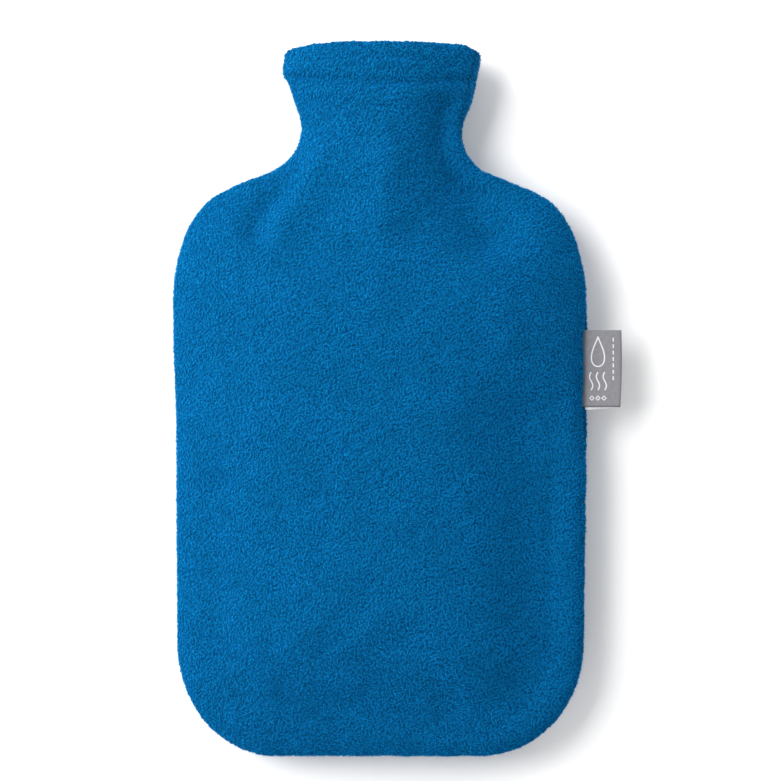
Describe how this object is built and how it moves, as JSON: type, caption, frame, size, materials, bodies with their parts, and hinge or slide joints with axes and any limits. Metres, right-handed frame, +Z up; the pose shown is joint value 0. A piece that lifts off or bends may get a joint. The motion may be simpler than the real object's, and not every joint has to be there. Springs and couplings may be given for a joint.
{
  "type": "hot water bottle cover",
  "caption": "Fleece cover for a two-litre hot water bottle, hollow, with a necked open mouth and a folded ribbon label in its side seam.",
  "frame": {"origin": "on the flat underside, half way up the cover and midway between its sides", "axes": "+X across the cover towards the label, +Y along it towards the mouth, +Z up from the surface it lies on, out of its face"},
  "size_m": [0.2249, 0.3556, 0.0412],
  "materials": {
    "fleece": "short brushed pile fleece, matt, soft sheen at the edges",
    "ribbon": "woven satin ribbon, semi-matt, with pale woven marks"
  },
  "bodies": {
    "root": {"front_panel": "fleece", "back_panel": "fleece", "side_label": "ribbon"}
  },
  "joints": []
}
